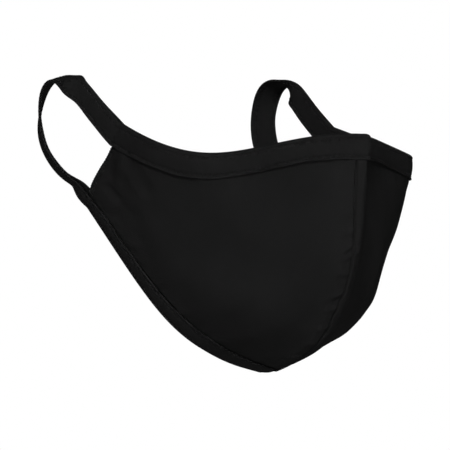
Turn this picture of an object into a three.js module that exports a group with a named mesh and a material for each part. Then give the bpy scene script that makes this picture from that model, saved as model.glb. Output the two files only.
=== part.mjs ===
// A cloth face mask in the form that it takes when worn: two cheek panels of doubled
// cotton jersey meet at a seam down the middle of the face, a folded strip binds the
// top edge, another binds the bottom edge, and both strips run on as flat ear loops.
//
// Units are millimetres. +Z is up, the nose points along -Y and +X is the wearer's
// left. The origin is the top of the centre seam, where the mask sits on the nose.
// Each side is worked out in side coordinates (out from the middle, back, up) and
// then placed on the wearer's left or right.

import * as THREE from 'three';

// Sizes of the worn form
const seamDrop = 109; // top of the centre seam down to its lower end
const seamRun = 71; // top of the centre seam back to its lower end under the chin
const earHalfWidth = 70; // middle of the mask out to the ear edge
const earSetback = 89.5; // nose bridge back to the top of the ear edge
const earRise = 5; // nose bridge up to the top of the ear edge
const earEdgeDrop = 39; // top of the ear edge down to its lower end
const earEdgeLean = 28.5; // top of the ear edge back to its lower end
const jawTuck = 5.5; // how far the lower end of the ear edge turns in under the jaw
const loopReach = 46; // ear edge back to the rear of the loop
const loopRise = 24; // ear edge up to the top of the loop

// Sizes of the cloth
const panelWall = 1.5; // two plies of jersey
const bindingWidth = 12;
const bindingPly = 1;
const loopThickness = 1.3; // the binding strip folded on itself
const layerGap = 0.3; // between a panel and the binding round it
const seamGap = 0.3; // between the two panels
const jointGap = 0.3; // between the end of a binding and the loop that continues it
const loopTaper = 14; // length over which a loop thins from the binding's end

// How finely the forms are divided
const acrossSteps = 22;
const innerRows = 14;
const loopSteps = 48;
const lengthSamples = 80;

// One row for each section of a panel, from the top edge to the bottom edge. A section
// runs from the centre seam to the ear edge. Its ends are shares of the sizes above, its
// angles are degrees back from straight sideways, and its reaches, rises and drops are
// shares of earSetback and seamDrop.
const sections = [
  { seamDown: 0, seamBack: 0, earDown: 0, earBack: 0, earIn: 0,
    flankAngle: 57, flankReach: 0.535, flankRise: 0.034, sideAngle: 104, sideReach: 0.983, sideDrop: 0.274 },
  { seamDown: 0.215, seamBack: 0.016, earDown: 0.158, earBack: 0.118, earIn: -0.062,
    flankAngle: 43, flankReach: 0.538, flankRise: 0.042, sideAngle: 101, sideReach: 0.932, sideDrop: 0.322 },
  { seamDown: 0.422, seamBack: 0.055, earDown: 0.312, earBack: 0.252, earIn: -0.119,
    flankAngle: 33, flankReach: 0.551, flankRise: 0.054, sideAngle: 96, sideReach: 0.851, sideDrop: 0.368 },
  { seamDown: 0.613, seamBack: 0.134, earDown: 0.457, earBack: 0.41, earIn: -0.148,
    flankAngle: 25, flankReach: 0.573, flankRise: 0.071, sideAngle: 91, sideReach: 0.751, sideDrop: 0.41 },
  { seamDown: 0.779, seamBack: 0.263, earDown: 0.596, earBack: 0.576, earIn: -0.108,
    flankAngle: 16, flankReach: 0.614, flankRise: 0.087, sideAngle: 87, sideReach: 0.661, sideDrop: 0.445 },
  { seamDown: 0.901, seamBack: 0.456, earDown: 0.73, earBack: 0.739, earIn: 0.072,
    flankAngle: 9, flankReach: 0.636, flankRise: 0.116, sideAngle: 84, sideReach: 0.587, sideDrop: 0.463 },
  { seamDown: 0.976, seamBack: 0.708, earDown: 0.865, earBack: 0.879, earIn: 0.526,
    flankAngle: 7, flankReach: 0.625, flankRise: 0.127, sideAngle: 79, sideReach: 0.482, sideDrop: 0.461 },
  { seamDown: 1, seamBack: 1, earDown: 1, earBack: 1, earIn: 1.177,
    flankAngle: 0, flankReach: 0.635, flankRise: 0.106, sideAngle: 70, sideReach: 0.397, sideDrop: 0.44 },
];

// One row for each soft fold in a cheek panel near the ear, of the kind that pulls from
// the top corner down towards the jaw. middleAcross, middleDown, halfWidth and halfRun
// are shares across and down the panel, slant is how far the fold moves across for each
// share that it runs down, and rise is how far it stands out sideways in millimetres.
const folds = [
  { middleAcross: 0.895, middleDown: 0.4, slant: -0.65, halfWidth: 0.065, halfRun: 0.3, rise: 1.7 },
  { middleAcross: 0.955, middleDown: 0.47, slant: -0.55, halfWidth: 0.06, halfRun: 0.2, rise: -0.9 },
  { middleAcross: 0.79, middleDown: 0.69, slant: -0.8, halfWidth: 0.08, halfRun: 0.18, rise: -1.3 },
];

// One row for each station of an ear loop, from the top binding to the bottom binding.
// back and up are shares of loopReach and loopRise from the loop's start, out is a share
// of bindingWidth, and turn is how far the flat of the band turns from facing sideways
// to facing away from the ear, in degrees.
const loopStations = [
  { back: 0.3, up: 0.475, out: 0.04, turn: 0 },
  { back: 0.46, up: 0.755, out: 0.08, turn: 0 },
  { back: 0.55, up: 0.9, out: 0.12, turn: 12 },
  { back: 0.645, up: 1.03, out: 0.2, turn: 60 },
  { back: 0.77, up: 1.1, out: 0.26, turn: 78 },
  { back: 0.92, up: 0.97, out: 0.3, turn: 66 },
  { back: 1.02, up: 0.58, out: 0.33, turn: 50 },
  { back: 1.03, up: 0.06, out: 0.33, turn: 36 },
  { back: 0.91, up: -0.42, out: 0.29, turn: 40 },
  { back: 0.76, up: -0.7, out: 0.22, turn: 46 },
  { back: 0.6, up: -0.92, out: 0.1, turn: 44 },
];

// Smooth curve through values given at knots, with straight ends.
function splineThrough(knots, values) {
  const last = knots.length - 1;
  const bend = new Array(knots.length).fill(0);
  const carry = new Array(knots.length).fill(0);
  for (let i = 1; i < last; i++) {
    const before = knots[i] - knots[i - 1];
    const after = knots[i + 1] - knots[i];
    const pivot = 2 * (before + after) - before * carry[i - 1];
    const change = (values[i + 1] - values[i]) / after - (values[i] - values[i - 1]) / before;
    carry[i] = after / pivot;
    bend[i] = (6 * change - before * bend[i - 1]) / pivot;
  }
  for (let i = last - 1; i > 0; i--) {
    bend[i] -= carry[i] * bend[i + 1];
  }
  return (at) => {
    let i = 0;
    while (i < last - 1 && at > knots[i + 1]) {
      i += 1;
    }
    const span = knots[i + 1] - knots[i];
    const b = (at - knots[i]) / span;
    const a = 1 - b;
    const curl = ((a ** 3 - a) * bend[i] + (b ** 3 - b) * bend[i + 1]) * (span * span) / 6;
    return a * values[i] + b * values[i + 1] + curl;
  };
}

// A function that reads a whole table at a share of its length.
function tableReader(rows, knots) {
  const names = Object.keys(rows[0]);
  const curves = names.map((name) => splineThrough(knots, rows.map((row) => row[name])));
  return (at) => Object.fromEntries(names.map((name, i) => [name, curves[i](at)]));
}

const sectionAt = tableReader(sections, sections.map((row, i) => i / (sections.length - 1)));

// A rounded bump that is 1 at 0 and fades to nothing at 1 and beyond.
const bump = (x) => Math.max(0, 1 - x * x) ** 2;

// How far the folds push a point of a panel sideways.
function foldRise(down, across) {
  return folds.reduce((sum, fold) => {
    const middle = fold.middleAcross + fold.slant * (down - fold.middleDown);
    const along = bump((down - fold.middleDown) / fold.halfRun);
    return sum + fold.rise * along * bump((across - middle) / fold.halfWidth);
  }, 0);
}

// A point on the outside of a panel, in side coordinates. down goes from the top edge to
// the bottom edge and across goes from the centre seam to the ear edge, both 0 to 1.
function panelPoint(down, across) {
  const row = sectionAt(down);
  const flank = THREE.MathUtils.degToRad(row.flankAngle);
  const side = THREE.MathUtils.degToRad(row.sideAngle);
  const seam = new THREE.Vector3(0, seamRun * row.seamBack, -seamDrop * row.seamDown);
  const ear = new THREE.Vector3(
    earHalfWidth - jawTuck * row.earIn,
    earSetback + earEdgeLean * row.earBack,
    earRise - earEdgeDrop * row.earDown,
  );
  const leave = new THREE.Vector3(Math.cos(flank), Math.sin(flank), 0);
  const arrive = new THREE.Vector3(Math.cos(side), Math.sin(side), 0);
  const nearSeam = seam.clone().addScaledVector(leave, earSetback * row.flankReach);
  const nearEar = ear.clone().addScaledVector(arrive, -earSetback * row.sideReach);
  nearSeam.z += seamDrop * row.flankRise;
  nearEar.z -= seamDrop * row.sideDrop;
  const point = new THREE.CubicBezierCurve3(seam, nearSeam, nearEar, ear).getPoint(across);
  point.x += seamGap / 2 + foldRise(down, across);
  return point;
}

// The direction out of the cloth at a point of a panel. At the seam it lies in the middle
// plane and is long enough to keep the wall's thickness, as a mitre does.
function panelOutward(down, across) {
  const step = 1e-3;
  const along = panelPoint(Math.min(1, down + step), across)
    .sub(panelPoint(Math.max(0, down - step), across));
  const sideways = panelPoint(down, Math.min(1, across + step))
    .sub(panelPoint(down, Math.max(0, across - step)));
  const outward = along.cross(sideways).normalize();
  if (across === 0) {
    outward.x = 0;
    outward.divideScalar(outward.lengthSq());
  }
  return outward;
}

// One line down a panel at a share across it. It gives the place at any length in
// millimetres from the top edge, with a depth measured into the cloth.
function panelLine(across) {
  const places = [];
  const lengths = [0];
  for (let i = 0; i <= lengthSamples; i++) {
    places.push(panelPoint(i / lengthSamples, across));
    if (i > 0) {
      lengths.push(lengths[i - 1] + places[i].distanceTo(places[i - 1]));
    }
  }
  const total = lengths[lengthSamples];
  const shareAt = (length) => {
    let i = 1;
    while (i < lengthSamples && lengths[i] < length) {
      i += 1;
    }
    return (i - 1 + (length - lengths[i - 1]) / (lengths[i] - lengths[i - 1])) / lengthSamples;
  };
  const at = (length, depth) => {
    const down = THREE.MathUtils.clamp(shareAt(length), 0, 1);
    return panelPoint(down, across).addScaledVector(panelOutward(down, across), -depth);
  };
  return { total, at };
}

// A point in the hollow behind the nose. Each four-cornered facet is split so that it
// bulges away from this point, which keeps layers that lie on each other apart.
const faceHollow = new THREE.Vector3(0, 0.8 * seamRun, -0.4 * seamDrop);

const cornerOf = (positions, index) => new THREE.Vector3().fromArray(positions, 3 * index);

// A closed solid between two rails of points at each station. Every station has the same
// number of rail points. side is -1 for the wearer's right and 1 for the left.
function railSolid(stations, side) {
  const railCount = stations[0].outer.length;
  const ringCount = 2 * railCount;
  const positions = [];
  for (const station of stations) {
    for (const point of [...station.outer, ...[...station.inner].reverse()]) {
      positions.push(side * point.x, point.y, point.z);
    }
  }
  const fromHeart = (a, b) => cornerOf(positions, a).add(cornerOf(positions, b))
    .multiplyScalar(0.5)
    .distanceTo(faceHollow);
  const triangles = [];
  const addQuad = (a, b, c, d) => {
    if (fromHeart(a, c) > fromHeart(b, d)) {
      triangles.push([a, b, c], [a, c, d]);
    } else {
      triangles.push([a, b, d], [b, c, d]);
    }
  };
  for (let j = 0; j + 1 < stations.length; j++) {
    for (let i = 0; i < ringCount; i++) {
      const next = (i + 1) % ringCount;
      const near = j * ringCount;
      const far = near + ringCount;
      addQuad(near + i, far + i, far + next, near + next);
    }
  }
  const lastRing = (stations.length - 1) * ringCount;
  for (let i = 0; i + 1 < railCount; i++) {
    const across = ringCount - 1 - i;
    addQuad(i, i + 1, across - 1, across);
    addQuad(lastRing + across, lastRing + across - 1, lastRing + i + 1, lastRing + i);
  }
  return facingOut(positions, triangles);
}

// A geometry whose triangles all face out of the solid.
function facingOut(positions, triangles) {
  let volume = 0;
  for (const corners of triangles) {
    const [a, b, c] = corners.map((index) => cornerOf(positions, index));
    volume += a.dot(b.cross(c));
  }
  const ordered = volume > 0 ? triangles : triangles.map(([a, b, c]) => [a, c, b]);
  const geometry = new THREE.BufferGeometry();
  geometry.setAttribute('position', new THREE.Float32BufferAttribute(positions, 3));
  geometry.setIndex(ordered.flat());
  geometry.computeVertexNormals();
  return geometry;
}

const acrossShares = Array.from({ length: acrossSteps + 1 }, (unused, i) => i / acrossSteps);
const panelLines = acrossShares.map(panelLine);

// Lengths from an edge at which the binding and the panel inside it both have points
const bindingThickness = panelWall + 2 * layerGap + 2 * bindingPly;
const crownRadius = bindingThickness / 2;
const panelInset = crownRadius + layerGap / 2;
const legRows = [crownRadius, bindingWidth / 2, bindingWidth];

// A cheek panel, from just inside the top binding's fold to just inside the bottom one's.
function panelGeometry(side) {
  const stations = panelLines.map((line) => {
    const free = line.total - 2 * bindingWidth;
    const lengths = [
      panelInset,
      bindingWidth / 2,
      ...Array.from({ length: innerRows }, (unused, i) => bindingWidth + (free * i) / (innerRows - 1)),
      line.total - bindingWidth / 2,
      line.total - panelInset,
    ];
    return {
      outer: lengths.map((length) => line.at(length, 0)),
      inner: lengths.map((length) => line.at(length, panelWall)),
    };
  });
  return railSolid(stations, side);
}

// The section of a binding: each point is a length in from the folded edge and a depth
// into the cloth, up the outer leg, over the fold and down the inner leg.
function bindingSection(offset) {
  const middle = panelWall / 2;
  const reach = crownRadius - offset;
  const legs = legRows.map((length) => ({ length, depth: middle - reach }));
  const fold = [45, 90, 135].map((degrees) => {
    const angle = THREE.MathUtils.degToRad(degrees);
    return {
      length: crownRadius - reach * Math.sin(angle),
      depth: middle - reach * Math.cos(angle),
    };
  });
  const back = legRows.map((length) => ({ length, depth: middle + reach }));
  return [...legs.reverse(), ...fold, ...back];
}

const bindingOutside = bindingSection(0);
const bindingInside = bindingSection(bindingPly);

// The rails of a binding on one line of a panel, along the top or the bottom edge.
function bindingStation(line, edge) {
  const place = ({ length, depth }) => line.at(edge === 'top' ? length : line.total - length, depth);
  return { outer: bindingOutside.map(place), inner: bindingInside.map(place) };
}

// A binding from ear edge to ear edge, folded over the centre seam.
function bindingGeometry(edge) {
  const half = panelLines.map((line) => bindingStation(line, edge));
  const mirrored = (point) => new THREE.Vector3(-point.x, point.y, point.z);
  const onMiddle = (point) => new THREE.Vector3(0, point.y, point.z);
  const change = (station, how) => ({ outer: station.outer.map(how), inner: station.inner.map(how) });
  const right = half.slice(1).reverse().map((station) => change(station, mirrored));
  return railSolid([...right, change(half[0], onMiddle), ...half.slice(1)], 1);
}

// The flat end of a binding at the ear edge, as a middle point, the direction across the
// binding towards the ear opening, and the direction out of the cloth.
function bindingEnd(edge) {
  const line = panelLines[acrossSteps];
  const place = (length, depth) => line.at(edge === 'top' ? length : line.total - length, depth);
  const fold = place(0, panelWall / 2);
  const hem = place(bindingWidth, panelWall / 2);
  const half = bindingWidth / 2;
  return {
    middle: fold.clone().add(hem).multiplyScalar(0.5),
    across: hem.clone().sub(fold).normalize(),
    outward: place(half, 0).sub(place(half, panelWall)).normalize(),
  };
}

// An ear loop: a flat band that leaves the end of the top binding, goes over and behind
// the ear, and comes back to the end of the bottom binding.
function loopGeometry(side) {
  const start = bindingEnd('top');
  const finish = bindingEnd('bottom');
  const line = panelLines[acrossSteps];
  const before = panelLines[acrossSteps - 1];
  const forwardStep = (length, lengthBefore) => line.at(length, 0).sub(before.at(lengthBefore, 0)).normalize();
  const startForward = forwardStep(bindingWidth / 2, bindingWidth / 2);
  const finishForward = forwardStep(line.total - bindingWidth / 2, before.total - bindingWidth / 2);
  start.middle.addScaledVector(startForward, jointGap);
  finish.middle.addScaledVector(finishForward, jointGap);

  const points = [
    start.middle,
    ...loopStations.map((row) => new THREE.Vector3(
      start.middle.x + bindingWidth * row.out,
      start.middle.y + loopReach * row.back,
      start.middle.z + loopRise * row.up,
    )),
    finish.middle,
  ];
  const knots = [0];
  for (let i = 1; i < points.length; i++) {
    knots.push(knots[i - 1] + points[i].distanceTo(points[i - 1]));
  }
  const total = knots[knots.length - 1];
  const path = tableReader(points.map(({ x, y, z }) => ({ x, y, z })), knots);
  const turns = [0, ...loopStations.map((row) => row.turn), 0];
  const turnAt = splineThrough(knots, turns);
  const sideways = new THREE.Vector3(1, 0, 0);

  const stations = [];
  for (let k = 0; k <= loopSteps; k++) {
    const length = (total * k) / loopSteps;
    const here = new THREE.Vector3().copy(path(length));
    const ahead = new THREE.Vector3().copy(path(Math.min(total, length + 0.1)));
    const behind = new THREE.Vector3().copy(path(Math.max(0, length - 0.1)));
    const tangent = ahead.sub(behind).normalize();
    const flat = sideways.clone().addScaledVector(tangent, -sideways.dot(tangent)).normalize();
    const inward = tangent.clone().cross(flat);
    const turn = THREE.MathUtils.degToRad(turnAt(length));
    const outward = flat.clone().multiplyScalar(Math.cos(turn)).addScaledVector(inward, -Math.sin(turn));
    const across = inward.clone().multiplyScalar(Math.cos(turn)).addScaledVector(flat, Math.sin(turn));
    const near = length < total / 2 ? start : finish;
    const settle = THREE.MathUtils.smoothstep(Math.min(length, total - length), 0, loopTaper);
    outward.lerpVectors(near.outward, outward, settle).normalize();
    across.lerpVectors(near.across, across, settle).normalize();
    const thickness = THREE.MathUtils.lerp(bindingThickness, loopThickness, settle);
    const edgeInset = thickness * 0.25;
    const place = (sideShare, widthFromMiddle) => here.clone()
      .addScaledVector(across, widthFromMiddle)
      .addScaledVector(outward, sideShare * thickness / 2);
    const half = bindingWidth / 2;
    const rail = (sign) => [
      place(sign * 0.45, -half),
      place(sign, edgeInset - half),
      place(sign, half - edgeInset),
      place(sign * 0.45, half),
    ];
    stations.push({ outer: rail(1), inner: rail(-1) });
  }
  return railSolid(stations, side);
}

const jersey = { color: 0x1b1b1c, roughness: 0.95, metalness: 0 };
const bindingCloth = { color: 0x1e1e1f, roughness: 0.92, metalness: 0 };

function piece(name, geometry, cloth) {
  const mesh = new THREE.Mesh(geometry, new THREE.MeshStandardMaterial(cloth));
  mesh.name = name;
  return mesh;
}

const mask = new THREE.Group();
mask.add(piece('binding_top', bindingGeometry('top'), bindingCloth));
mask.add(piece('binding_bottom', bindingGeometry('bottom'), bindingCloth));
for (const [name, side] of [['right', -1], ['left', 1]]) {
  mask.add(piece(`panel_${name}`, panelGeometry(side), jersey));
  mask.add(piece(`ear_loop_${name}`, loopGeometry(side), bindingCloth));
}

export default mask;
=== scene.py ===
import math

import bpy
import numpy as np
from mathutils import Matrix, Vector


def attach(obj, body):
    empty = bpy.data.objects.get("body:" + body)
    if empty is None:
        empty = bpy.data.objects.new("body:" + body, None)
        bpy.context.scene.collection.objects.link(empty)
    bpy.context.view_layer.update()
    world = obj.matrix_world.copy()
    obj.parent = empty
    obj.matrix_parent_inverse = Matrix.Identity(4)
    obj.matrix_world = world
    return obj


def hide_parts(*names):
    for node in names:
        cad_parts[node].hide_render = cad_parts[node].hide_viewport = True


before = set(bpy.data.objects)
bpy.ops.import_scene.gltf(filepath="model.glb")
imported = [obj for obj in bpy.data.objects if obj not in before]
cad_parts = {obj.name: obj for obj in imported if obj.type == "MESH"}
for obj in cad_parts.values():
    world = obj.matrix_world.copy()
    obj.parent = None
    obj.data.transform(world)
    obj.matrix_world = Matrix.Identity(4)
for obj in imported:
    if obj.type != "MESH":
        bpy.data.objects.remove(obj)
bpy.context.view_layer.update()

MM = 0.001
CLOTH_MAP = "cloth"  # the UV map with each point's place on the flat cloth, in millimetres


def put_in_scene(name, data):
    """A new object with this data, in the scene."""
    obj = bpy.data.objects.new(name, data)
    bpy.context.scene.collection.objects.link(obj)
    return obj


# ---------------------------------------------------------------- camera

PHOTO_WIDTH = 450
PIXELS_PER_MM = 2.19
CAMERA_AZIMUTH = -45.0  # degrees: the wearer's right side faces the camera
CAMERA_DISTANCE = 3000.0
CAMERA_REACH = 20.0  # metres, past the far edge of the studio floor
SENSOR_WIDTH = 36.0
ORIGIN_IN_PHOTO = (368.5, 134.0)  # pixel where the top of the centre seam lies


def set_camera():
    """The camera stands level, so that the origin falls on its pixel in the photo."""
    turn = math.radians(CAMERA_AZIMUTH)
    right = np.array([math.cos(turn), math.sin(turn), 0.0])
    back = np.array([math.sin(turn), -math.cos(turn), 0.0])
    up = np.array([0.0, 0.0, 1.0])
    middle = PHOTO_WIDTH / 2
    aim = (
        right * (middle - ORIGIN_IN_PHOTO[0]) - up * (middle - ORIGIN_IN_PHOTO[1])
    ) / PIXELS_PER_MM
    data = bpy.data.cameras.new("camera")
    data.sensor_width = SENSOR_WIDTH
    data.lens = SENSOR_WIDTH * CAMERA_DISTANCE / (PHOTO_WIDTH / PIXELS_PER_MM)
    data.clip_end = CAMERA_REACH
    camera = put_in_scene("camera", data)
    camera.location = (aim + back * CAMERA_DISTANCE) * MM
    camera.rotation_euler = (math.radians(90.0), 0.0, turn)
    bpy.context.scene.camera = camera


set_camera()

# ---------------------------------------------------------------- sizes of the mask

SEAM_DROP = 109.0  # top of the centre seam down to its lower end
SEAM_RUN = 71.0  # top of the centre seam back to its lower end
EAR_HALF_WIDTH = 70.0
EAR_SETBACK = 89.5
EAR_RISE = 5.0
EAR_EDGE_DROP = 39.0
EAR_EDGE_LEAN = 28.5
JAW_TUCK = 5.5
LOOP_REACH = 46.0
LOOP_RISE = 24.0

PANEL_WALL = 1.5  # two plies of jersey
BINDING_WIDTH = 12.0
BINDING_PLY = 1.0
LOOP_THICKNESS = 1.3
LAYER_GAP = 0.3
LOOP_TAPERS = (20.0, 14.0)  # over which a loop thins from the top and the bottom binding

# Sections of a panel from the top edge to the bottom edge, as in the part's source: seam
# down, seam back, ear down, ear back, ear in, flank angle, reach and rise, side angle,
# reach and drop.
SECTIONS = np.array([
    (0, 0, 0, 0, 0, 57, 0.535, 0.034, 104, 0.983, 0.274),
    (0.215, 0.016, 0.158, 0.118, -0.062, 43, 0.538, 0.042, 101, 0.932, 0.322),
    (0.422, 0.055, 0.312, 0.252, -0.119, 33, 0.551, 0.054, 96, 0.851, 0.368),
    (0.613, 0.134, 0.457, 0.41, -0.148, 25, 0.573, 0.071, 91, 0.751, 0.41),
    (0.779, 0.263, 0.596, 0.576, -0.108, 16, 0.614, 0.087, 87, 0.661, 0.445),
    (0.901, 0.456, 0.73, 0.739, 0.072, 9, 0.636, 0.116, 84, 0.587, 0.463),
    (0.976, 0.708, 0.865, 0.879, 0.526, 7, 0.625, 0.127, 79, 0.482, 0.461),
    (1, 1, 1, 1, 1.177, 0, 0.635, 0.106, 70, 0.397, 0.44),
])

# Soft folds near the ear: middle across, middle down, slant, half width, half run, rise.
# They are a little lower than the part's, because CREASES shapes them further.
FOLDS = [
    (0.895, 0.4, -0.65, 0.065, 0.3, 0.6),
    (0.955, 0.47, -0.55, 0.06, 0.2, -0.3),
    (0.79, 0.69, -0.8, 0.08, 0.18, -0.5),
]

# Stations of an ear loop: back, up, out, and the turn of the band in degrees.
LOOP_STATIONS = [
    (0.3, 0.475, 0.04, 0),
    (0.46, 0.755, 0.08, 0),
    (0.55, 0.9, 0.12, 12),
    (0.645, 1.03, 0.2, 60),
    (0.77, 1.1, 0.26, 78),
    (0.92, 0.97, 0.3, 66),
    (1.02, 0.58, 0.33, 50),
    (1.03, 0.06, 0.33, 36),
    (0.91, -0.42, 0.29, 40),
    (0.76, -0.7, 0.22, 46),
    (0.6, -0.92, 0.1, 48),
]

# ---------------------------------------------------------------- small helpers


def unit(vectors):
    return vectors / np.linalg.norm(vectors, axis=-1, keepdims=True)


def ease(x):
    """0 below 0, 1 above 1 and smooth between."""
    x = np.clip(x, 0.0, 1.0)
    return x * x * (3.0 - 2.0 * x)


def bump(x):
    """A rounded bump that is 1 at 0 and fades to nothing at 1 and beyond."""
    return np.maximum(0.0, 1.0 - x * x) ** 2


def bell(x):
    return np.exp(-x * x)


def running_length(points):
    """Length along each line of points, down the first axis."""
    steps = np.linalg.norm(np.diff(points, axis=0), axis=-1)
    return np.concatenate([np.zeros_like(steps[:1]), steps.cumsum(axis=0)])


def spline_through(knots, values):
    """A smooth curve through values given at knots, with straight ends."""
    x, y = np.asarray(knots, float), np.asarray(values, float)
    n, h = len(x), np.diff(x)
    system, pull = np.eye(n), np.zeros(y.shape)
    for i in range(1, n - 1):
        system[i, i - 1 : i + 2] = h[i - 1], 2.0 * (h[i - 1] + h[i]), h[i]
        pull[i] = 6.0 * ((y[i + 1] - y[i]) / h[i] - (y[i] - y[i - 1]) / h[i - 1])
    curl = np.linalg.solve(system, pull)

    def at(q):
        q = np.asarray(q, float)
        i = np.clip(np.searchsorted(x, q) - 1, 0, n - 2)
        span = h[i]
        b = (q - x[i]) / span
        a = 1.0 - b
        if y.ndim > 1:
            a, b, span = a[..., None], b[..., None], span[..., None]
        bend = (a**3 - a) * curl[i] + (b**3 - b) * curl[i + 1]
        return a * y[i] + b * y[i + 1] + bend * span * span / 6.0

    return at


section_at = spline_through(np.linspace(0, 1, len(SECTIONS)), SECTIONS)

# ---------------------------------------------------------------- the worn form

MITRE_SHARE = 0.05  # share of a panel over which the outward direction turns at the seam
SEAM_DIP = 1.2  # how far the cloth falls back beside the stiff seam
# Shares across a panel: where the dip is full, over what share it fades and where it ends
SEAM_DIP_SHARES = (0.1, 0.17, 0.27)


def panel_point(down, across):
    """Points on the outside of the left panel, down from the top edge and across from
    the centre seam, both as shares."""
    row = np.moveaxis(section_at(down), -1, 0)
    zero = np.zeros_like(down)
    seam = np.stack([zero, SEAM_RUN * row[1], -SEAM_DROP * row[0]], -1)
    ear = np.stack([
        EAR_HALF_WIDTH - JAW_TUCK * row[4],
        EAR_SETBACK + EAR_EDGE_LEAN * row[3],
        EAR_RISE - EAR_EDGE_DROP * row[2],
    ], -1)
    flank, side = np.radians(row[5]), np.radians(row[8])
    leave = np.stack([np.cos(flank), np.sin(flank), zero], -1)
    arrive = np.stack([np.cos(side), np.sin(side), zero], -1)
    near_seam = seam + leave * (EAR_SETBACK * row[6])[..., None]
    near_ear = ear - arrive * (EAR_SETBACK * row[9])[..., None]
    near_seam[..., 2] += SEAM_DROP * row[7]
    near_ear[..., 2] -= SEAM_DROP * row[10]
    s = across[..., None]
    r = 1.0 - s
    point = r**3 * seam + 3 * r * r * s * near_seam + 3 * r * s * s * near_ear + s**3 * ear
    for middle_across, middle_down, slant, half_width, half_run, rise in FOLDS:
        middle = middle_across + slant * (down - middle_down)
        along = bump((down - middle_down) / half_run)
        point[..., 0] += rise * along * bump((across - middle) / half_width)
    full, fading, end = SEAM_DIP_SHARES
    dip = SEAM_DIP * ease(across / full) * ease((end - across) / fading)
    return point - np.stack([np.sin(flank), -np.cos(flank), zero], -1) * dip[..., None]


def surface_normal(down, across):
    """Unit normals of the outside of a panel."""
    step = 1e-3
    along = panel_point(np.minimum(1, down + step), across)
    along -= panel_point(np.maximum(0, down - step), across)
    sideways = panel_point(down, np.minimum(1, across + step))
    sideways -= panel_point(down, np.maximum(0, across - step))
    return unit(np.cross(along, sideways))


def panel_outward(down, across):
    """The direction out of the cloth. Next to the seam it turns into the middle plane
    and grows as a mitre does, so that layers stay parallel and don't cross over."""
    turned = surface_normal(down, np.maximum(across, MITRE_SHARE))
    mitre = surface_normal(down, np.zeros_like(across))
    mitre[..., 0] = 0.0
    mitre /= (mitre**2).sum(-1, keepdims=True)
    w = np.clip(across / MITRE_SHARE, 0.0, 1.0)[..., None]
    return mitre * (1 - w) + turned * w


DOWN_SAMPLES = np.linspace(0.0, 1.0, 81)


def line_lengths(across):
    """Length from the top edge down each line of a panel: samples by lines."""
    down, share = np.meshgrid(DOWN_SAMPLES, across, indexing="ij")
    return running_length(panel_point(down, share))


def down_at(across, lengths):
    """Shares down at lengths from the top edge: lines by lengths."""
    table = line_lengths(across)
    return np.stack([
        np.interp(row, table[:, j], DOWN_SAMPLES) for j, row in enumerate(lengths)
    ])


def on_panel(across, lengths, heights, edge="top"):
    """Points at heights over the outside of a panel, lines by lengths from an edge."""
    lengths = np.broadcast_to(lengths, (len(across), np.shape(lengths)[-1]))
    if edge == "bottom":
        lengths = line_lengths(across)[-1][:, None] - lengths
    down = down_at(across, lengths)
    share = np.broadcast_to(across[:, None], down.shape)
    return panel_point(down, share) + panel_outward(down, share) * heights[..., None]


# ---------------------------------------------------------------- meshes


def grid_normals(grid):
    """Unit normals of a grid of points, from its neighbours."""
    return unit(np.cross(np.gradient(grid, axis=0), np.gradient(grid, axis=1)))


def make_object(name, points, faces, corner_uv, material, sharp_angle=50.0):
    mesh = bpy.data.meshes.new(name)
    mesh.from_pydata((points * MM).tolist(), [], faces)
    layer = mesh.uv_layers.new(name=CLOTH_MAP)
    layer.uv.foreach_set("vector", np.asarray(corner_uv, np.float32).ravel())
    mesh.materials.append(material)
    mesh.shade_smooth()
    mesh.set_sharp_from_angle(angle=math.radians(sharp_angle))
    mesh.validate()
    return put_in_scene(name, mesh)


def cloth_solid(name, outer, inner, uv, material):
    """A closed piece of cloth between two grids of points that face each other. uv has
    the place of each grid point on the flat cloth in millimetres."""
    rows, columns = outer.shape[:2]
    points = np.concatenate([outer.reshape(-1, 3), inner.reshape(-1, 3)])
    flat = np.concatenate([uv.reshape(-1, 2)] * 2)
    here = np.arange(rows * columns).reshape(rows, columns)
    there = here + rows * columns
    quads = [
        np.stack([here[:-1, :-1], here[1:, :-1], here[1:, 1:], here[:-1, 1:]], -1),
        np.stack([there[:-1, :-1], there[:-1, 1:], there[1:, 1:], there[1:, :-1]], -1),
    ]
    rim = [(here[0], there[0]), (here[:, -1], there[:, -1])]
    rim += [(here[-1][::-1], there[-1][::-1]), (here[::-1, 0], there[::-1, 0])]
    for near, far in rim:
        quads.append(np.stack([near[:-1], near[1:], far[1:], far[:-1]], -1))
    faces = np.concatenate([q.reshape(-1, 4) for q in quads])
    a, b, c, d = (points[faces[:, i]] for i in range(4))
    volume = (np.cross(b - a, c - a) * a).sum() + (np.cross(c - a, d - a) * a).sum()
    if volume < 0:
        faces = faces[:, ::-1]
    return make_object(name, points, faces.tolist(), flat[faces.ravel()], material)


THREAD_SIDES = 6


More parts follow.
